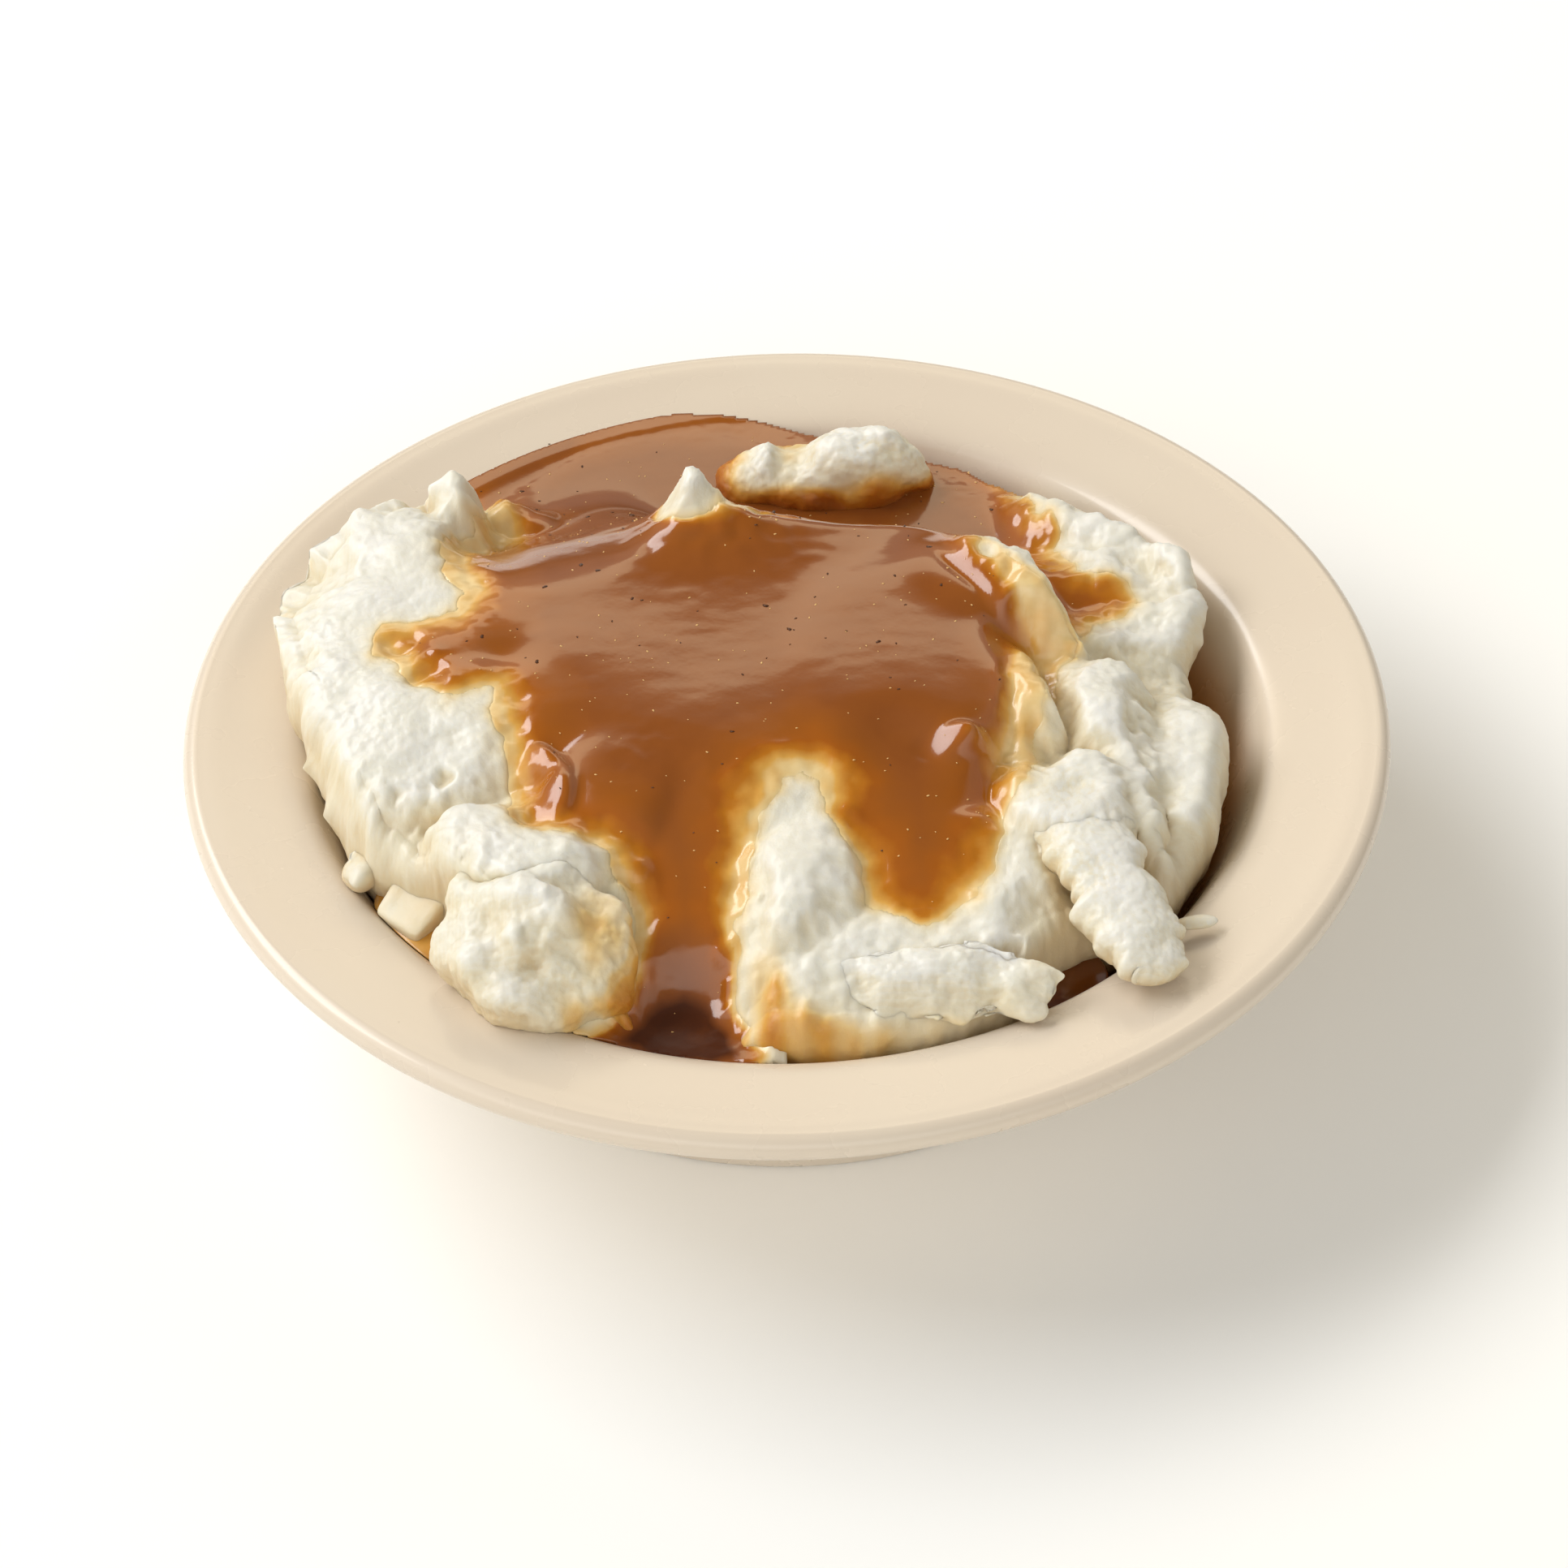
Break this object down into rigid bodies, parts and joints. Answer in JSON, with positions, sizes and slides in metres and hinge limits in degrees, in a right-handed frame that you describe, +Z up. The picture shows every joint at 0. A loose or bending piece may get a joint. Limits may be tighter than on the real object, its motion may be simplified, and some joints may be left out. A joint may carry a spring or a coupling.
{
  "type": "mashed potato side",
  "caption": "Mashed potato in a spooned heap under brown gravy that pools at the back and front, in a shallow tan melamine fruit dish with a wide flat rim.",
  "frame": {"origin": "on the table under the middle of the dish's foot ring", "axes": "+Z up out of the dish; -Y is the front, the side with the roll of mash on the rim at its right"},
  "size_m": [0.121, 0.121, 0.0354],
  "materials": {
    "melamine": "hard glossy tan melamine",
    "mash": "moist off-white mashed potato",
    "gravy": "thick glossy brown gravy"
  },
  "bodies": {
    "root": {"dish": "melamine", "mash_heap": "mash", "mash_front_lump": "mash", "mash_back_lump": "mash", "mash_shelf": "mash", "mash_strand": "mash", "mash_chip": "mash", "mash_crumb_left": "mash", "mash_crumb_right": "mash", "gravy": "gravy", "gravy_puddle_left": "gravy", "gravy_puddle_right": "gravy"}
  },
  "joints": []
}
